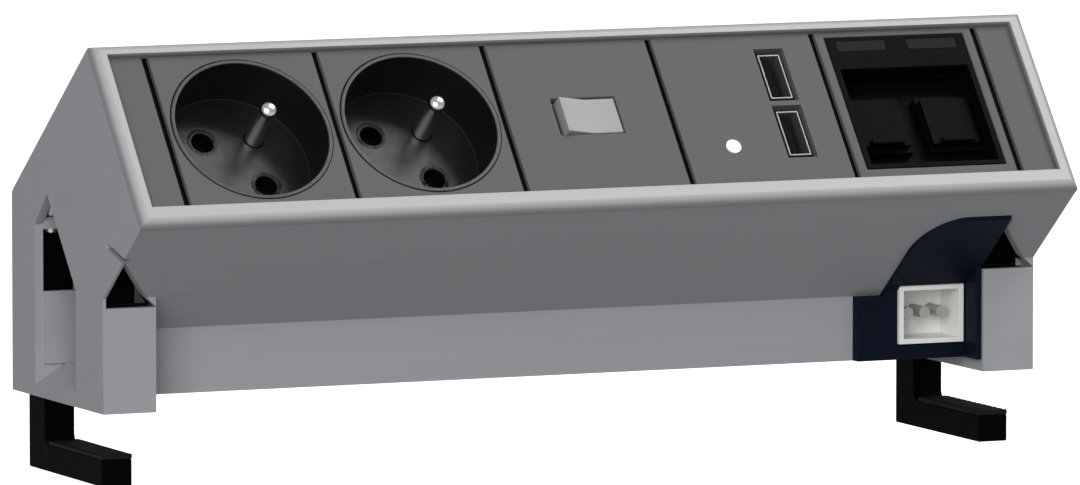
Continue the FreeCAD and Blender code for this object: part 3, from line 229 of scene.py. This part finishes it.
tinned = surface("tinned brass pin", shade(178, 176, 170), 0.45, METAL, 10, metallic=0.5)
zinc = surface("zinc plated steel", shade(176, 177, 172), 0.34, METAL, 10, metallic=1)
brass = surface("contact brass", shade(206, 172, 96), 0.28, METAL, 5, metallic=1)
solder_mask = surface("green circuit board", shade(24, 92, 52), 0.3, COARSE, 10, drift=0.25)
brown_cover = surface("brown wire cover", shade(96, 58, 34), 0.45, EVEN, 10)
blue_cover = surface("blue wire cover", shade(36, 78, 156), 0.45, EVEN, 10)


def striped_cover():
    """Green and yellow wire cover: the stripe climbs across the wire."""
    material = surface("green and yellow wire cover", GREEN, 0.45, EVEN, 10)
    tree = material.node_tree
    place, colour = place_and_colour(material)
    wave = tree.nodes.new("ShaderNodeTexWave")
    wave.bands_direction = "DIAGONAL"
    wave.inputs["Scale"].default_value = 90
    tree.links.new(place, wave.inputs["Vector"])
    stripe = share(tree, wave.outputs["Fac"], 0.62, 0.66)
    tree.links.new(between(tree, stripe, GREEN, YELLOW), colour)
    return material


def rim_with_painted_light():
    """The frame's face on the panel's plane is painted light as a highlight; its rounded outer edge is painted
    darker as shade, in the grey of the casing.
    """
    material = surface("anodised rim with painted light", RIM_FACE_HIGHLIGHT, 0.4, (40, 5000, 5000), 10, drift=0.06)
    tree = material.node_tree
    place, colour = place_and_colour(material)
    upright = tree.nodes.new("ShaderNodeMapping")
    upright.inputs["Rotation"].default_value = (-SLOPE, 0, 0)
    tree.links.new(place, upright.inputs["Vector"])
    height = apart(tree, upright.outputs[0])[2]
    plane = PANEL.translation.dot(PANEL.col[2].to_3d())
    # Painted light: the highlight colour on the flat face, fading to painted shade down the rounded edge.
    level = share(tree, height, plane - 1.2 * MM, plane - 0.2 * MM)
    tree.links.new(between(tree, level, RIM_EDGE_SHADE, RIM_FACE_HIGHLIGHT), colour)
    return material


def casting_with_painted_shade():
    """Silver paint outside; the chamber behind the caps' notches is painted dark as shade."""
    material = surface("silver casting with painted shade", SILVER, 0.5, EVEN, 30, shine=0.05)
    tree = material.node_tree
    place, colour = place_and_colour(material)
    x, y, z = apart(tree, place)
    inside = 1
    for value, (low, high) in zip((arithmetic(tree, "ABSOLUTE", x), y, z), CHAMBER):
        near = arithmetic(tree, "COMPARE", value, (low + high) / 2 * MM, (high - low) / 2 * MM)
        inside = arithmetic(tree, "MULTIPLY", inside, near)
    # Painted shade: the chamber's surfaces take the dark colour instead of the silver.
    tree.links.new(between(tree, inside, SILVER, CHAMBER_SHADE), colour)
    return material


def lit_lens():
    """The white indicator, faintly lit."""
    material = surface("white indicator", shade(240, 240, 238), 0.25, FINE, 5, drift=0.03)
    shader = material.node_tree.nodes["Principled BSDF"].inputs
    shader["Emission Color"].default_value = WHITE
    shader["Emission Strength"].default_value = 0.12
    return material


# Pieces taken over from the solids

def paint(piece, material):
    piece.data.materials.clear()
    piece.data.materials.append(material)


def finish_node(node, material):
    """Give a solid that stays as it is its finish."""
    for slot in frame["nodes"][node].material_slots:
        slot.material = material


def broken_edges(piece, width, segments=2):
    """Round every edge sharper than a shallow bend, by a width in millimetres."""
    alone(piece)
    bevel = piece.modifiers.new("broken edges", "BEVEL")
    bevel.width = width * MM
    bevel.segments = segments
    bevel.limit_method = "ANGLE"
    bevel.angle_limit = math.radians(35)
    bevel.use_clamp_overlap = True
    bpy.ops.object.modifier_apply(modifier=bevel.name)
    bpy.ops.object.shade_smooth_by_angle(angle=math.radians(30))
    flat = piece.modifiers.new("flat faces", "WEIGHTED_NORMAL")
    flat.keep_sharp = True
    bpy.ops.object.modifier_apply(modifier=flat.name)


def moulded(node, width, material, segments=2):
    """The solid again with its edges broken as moulding or casting leaves them."""
    source = frame["nodes"][node]
    piece = bpy.data.objects.new(f"{node}_moulded", source.data.copy())
    bpy.context.scene.collection.objects.link(piece)
    alone(piece)
    bpy.ops.object.mode_set(mode="EDIT")
    bpy.ops.mesh.customdata_custom_splitnormals_clear()
    bpy.ops.mesh.select_all(action="SELECT")
    bpy.ops.mesh.remove_doubles(threshold=0.002 * MM)
    bpy.ops.mesh.dissolve_limited(angle_limit=math.radians(0.5))
    bpy.ops.object.mode_set(mode="OBJECT")
    broken_edges(piece, width, segments)
    paint(piece, material)
    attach(piece, source["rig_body"])
    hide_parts(node)


for socket in SOCKETS:
    moulded(f"{socket}_cover", 0.3, grey_face)
    moulded(f"{socket}_insert", 0.35, satin_black)
for node in ("switch_cover", "usb_cover", "data_cover", "filler_strips"):
    moulded(node, 0.3, grey_face)
for node in ("data_frame", "data_shutter_left", "data_shutter_right"):
    moulded(node, 0.3, black_moulding)
moulded("switch_rocker", 0.4, rocker_moulding, segments=3)
moulded("inlet_housing", 0.4, navy_moulding)
moulded("inlet_connector", 0.35, white_moulding)
cast_silver = casting_with_painted_shade()
for hand in ("left", "right"):
    moulded(f"{hand}_end_cap", 0.4, cast_silver)
    moulded(f"{hand}_clamp_jaw", 0.7, black_powder, segments=3)

KEPT = {
    extruded: ("housing_profile",),
    rim_with_painted_light(): ("front_frame",),
    black_moulding: ("module_carrier", "usb_case", "usb_back_cover", "usb_board_parts", "usb_tongues",
                     "socket_1_shutter", "socket_2_shutter", "data_jacks"),
    white_moulding: ("usb_indicator_lens",),
    label_card: ("data_label_windows",),
    cream_moulding: ("switch_body", "terminal_block", "socket_1_rear_housing", "socket_2_rear_housing"),
    solder_mask: ("usb_board",),
    plated: ("socket_1_earth_pin", "socket_2_earth_pin"),
    dull_steel: ("usb_shells",),
    tinned: ("inlet_pins",),
    zinc: ("end_cap_screws", "switch_pivot_pin", "earth_bond_screw", "left_clamp_screw", "right_clamp_screw",
           "left_screw_ring", "right_screw_ring", "socket_1_terminal_screws", "socket_2_terminal_screws",
           "socket_1_shutter_spring", "socket_2_shutter_spring"),
    brass: ("switch_terminals", "data_jack_contacts", "earth_ring", "socket_1_contacts", "socket_2_contacts"),
    brown_cover: ("line_wires",),
    blue_cover: ("neutral_wires",),
    striped_cover(): ("earth_wires",),
}
for material, nodes in KEPT.items():
    for node in nodes:
        finish_node(node, material)


# Pieces that only show

def settle(piece, name, material, body="casing", on_panel=True):
    """Name a finished piece, put its place into its mesh and let it ride on its body."""
    piece.name = name
    if on_panel:
        piece.matrix_world = PANEL @ piece.matrix_world
    alone(piece)
    bpy.ops.object.transform_apply(location=True, rotation=True, scale=True)
    paint(piece, material)
    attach(piece, body)


def plain_box(place, size):
    """A box with its size in its mesh, in metres."""
    bpy.ops.mesh.primitive_cube_add(size=1, location=place)
    box = bpy.context.object
    box.scale = size
    bpy.ops.object.transform_apply(location=False, rotation=False, scale=True)
    return box


def collar(place, inner, outer, thick):
    """A flat ring with rounded edges, let into the panel down from its place, in millimetres."""
    bpy.ops.mesh.primitive_circle_add(vertices=48, radius=inner * MM, location=mm(*place))
    ring = bpy.context.object
    bpy.ops.object.mode_set(mode="EDIT")
    bpy.ops.mesh.select_all(action="SELECT")
    bpy.ops.mesh.extrude_edges_move()
    bpy.ops.transform.resize(value=(outer / inner, outer / inner, 1))
    bpy.ops.object.mode_set(mode="OBJECT")
    wall = ring.modifiers.new("wall", "SOLIDIFY")
    wall.thickness = thick * MM
    wall.offset = 1
    alone(ring)
    bpy.ops.object.modifier_apply(modifier=wall.name)
    broken_edges(ring, thick * 0.35)
    return ring


def contact_strip(x, y):
    """One of the contacts on a port's tongue: a thin bar that runs into the panel, in millimetres."""
    thickness, width, length, middle = 0.16, 1.1, 6.5, -7.5
    strip = plain_box(mm(x, y, middle), mm(thickness, width, length))
    broken_edges(strip, 0.05)
    return strip


def indicator_dome():
    """The low dome of the charger's indicator: the upper half of a ball, pressed flat."""
    flatness = 0.4
    bpy.ops.mesh.primitive_uv_sphere_add(segments=40, ring_count=20, radius=2 * MM,
                                         location=mm(CHARGER - 8.6, -11.1, FACE - 0.1))
    dome = bpy.context.object
    bpy.ops.object.mode_set(mode="EDIT")
    bpy.ops.mesh.bisect(plane_co=dome.location, plane_no=(0, 0, 1), clear_inner=True, use_fill=True)
    bpy.ops.object.mode_set(mode="OBJECT")
    dome.scale = (1, 1, flatness)
    bpy.ops.object.shade_smooth_by_angle(angle=math.radians(30))
    return dome


def ribbed_pad(hand, ribs=12):
    """The rubber pad on the jaw's arm, cut across by shallow grooves as wide as its ribs."""
    low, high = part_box(f"{hand}_jaw_pad")
    middle, size = (low + high) / 2, high - low
    pad = plain_box(middle, size)
    bands = 2 * ribs
    bpy.ops.object.mode_set(mode="EDIT")
    for band in range(1, bands):
        bpy.ops.mesh.select_all(action="SELECT")
        bpy.ops.mesh.bisect(plane_co=(0, low.y + size.y * band / bands, 0), plane_no=(0, 1, 0))
    bpy.ops.mesh.select_all(action="DESELECT")
    bpy.ops.object.mode_set(mode="OBJECT")
    for face in pad.data.polygons:
        band = int((face.center.y + middle.y - low.y) / size.y * bands)
        face.select = face.normal.z > 0.9 and band % 2 == 1
    bpy.ops.object.mode_set(mode="EDIT")
    bpy.ops.mesh.select_mode(type="FACE")
    bpy.ops.mesh.extrude_region_move(TRANSFORM_OT_translate={"value": (0, 0, -0.35 * MM)})
    bpy.ops.object.mode_set(mode="OBJECT")
    broken_edges(pad, 0.1, segments=1)
    return pad


for socket, along in SOCKETS.items():
    for side, away in (("upper", HOLE_REACH), ("lower", -HOLE_REACH)):
        ring = collar((along - away, away, RECESS_FLOOR), inner=2.9, outer=4.1, thick=0.5)
        settle(ring, f"{socket}_{side}_collar", satin_black)

for port, up in PORTS.items():
    for number, offset in enumerate(CONTACTS, start=1):
        strip = contact_strip(CHARGER + 9.42, up + offset)
        settle(strip, f"usb_{port}_strip_{number}", brass)

settle(indicator_dome(), "usb_indicator_dome", lit_lens())

for hand in ("left", "right"):
    pad = ribbed_pad(hand)
    settle(pad, f"{hand}_ribbed_pad", ribbed_rubber, body=f"{hand}_jaw", on_panel=False)
    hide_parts(f"{hand}_jaw_pad")


# Studio

def seen_directly(tree):
    """1 for what the camera sees, itself or through glass, less in gloss, and 0 for light on its way
    to the strip."""
    gloss_share = 0.35
    ray = tree.nodes.new("ShaderNodeLightPath").outputs
    straight = arithmetic(tree, "MAXIMUM", ray["Is Camera Ray"], ray["Is Transmission Ray"])
    gloss = arithmetic(tree, "MULTIPLY", ray["Is Glossy Ray"], gloss_share)
    return arithmetic(tree, "MAXIMUM", straight, gloss)


def studio_floor():
    """A pale floor below the jaws' lowest reach, dim to the light that it throws back."""
    bpy.ops.mesh.primitive_plane_add(size=40, location=mm(0, 0, -30))
    floor = bpy.context.object
    floor.name = "studio_floor"
    material = bpy.data.materials.new("pale floor")
    material.use_nodes = True
    tree = material.node_tree
    shader = tree.nodes["Principled BSDF"].inputs
    shader["Roughness"].default_value = 0.9
    shader["Specular IOR Level"].default_value = 0
    shader["Emission Color"].default_value = WHITE
    seen = seen_directly(tree)
    dim, pale, glow = (0.28, 0.28, 0.28, 1), (0.9, 0.9, 0.9, 1), 0.75
    tree.links.new(between(tree, seen, dim, pale), shader["Base Color"])
    tree.links.new(arithmetic(tree, "MULTIPLY", seen, glow), shader["Emission Strength"])
    paint(floor, material)


def studio_sky():
    """White where it is seen, dim where it lights the strip."""
    world = bpy.context.scene.world or bpy.data.worlds.new("studio")
    bpy.context.scene.world = world
    world.use_nodes = True
    tree = world.node_tree
    background = tree.nodes["Background"].inputs
    background["Color"].default_value = WHITE
    strength = between(tree, seen_directly(tree), 0.2, 1, kind="FLOAT")
    tree.links.new(strength, background["Strength"])


def soft_lamp(name, direction, size, level):
    """A square lamp aimed at the strip; level is the light that it gives on a face turned to it."""
    distance = 2.5
    lamp = bpy.data.lights.new(name, "AREA")
    lamp.size = size
    lamp.energy = level * math.pi ** 2 * distance ** 2
    holder = bpy.data.objects.new(name, lamp)
    bpy.context.scene.collection.objects.link(holder)
    aim = Vector(direction).normalized()
    holder.location = Vector(mm(0, 0, 60)) + aim * distance
    holder.rotation_euler = aim.to_track_quat("Z", "Y").to_euler()


def set_camera():
    """The photograph's view, from far away: turned to the left of the front and a little up. The strip's
    middle is moved in the picture to where the photograph has it."""
    turn, rise, distance = math.radians(23.78), math.radians(5.7), 3
    pixels_per_mm, picture_width, sensor_width = 4.009, 1080, 36
    ahead = Vector((math.sin(turn) * math.cos(rise), math.cos(turn) * math.cos(rise), -math.sin(rise)))
    right = Vector((math.cos(turn), -math.sin(turn), 0))
    upward = right.cross(ahead)
    aim = Vector((0, -6.2, 68)) * MM + right * -3.45 * MM + upward * -12.88 * MM
    camera = bpy.data.cameras.new("camera")
    camera.sensor_width = sensor_width
    camera.lens = sensor_width * pixels_per_mm / MM * distance / picture_width
    camera.clip_end = 100
    holder = bpy.data.objects.new("camera", camera)
    bpy.context.scene.collection.objects.link(holder)
    facing = Matrix((right, upward, -ahead)).transposed().to_4x4()
    holder.matrix_world = Matrix.Translation(aim - ahead * distance) @ facing
    bpy.context.scene.camera = holder


studio_floor()
studio_sky()
soft_lamp("key lamp", direction=(-0.55, -0.78, 0.3), size=2.0, level=0.93)
soft_lamp("top lamp", direction=(0.56, -0.16, 0.81), size=1.2, level=0.55)
set_camera()
bpy.context.scene.view_settings.view_transform = "Standard"
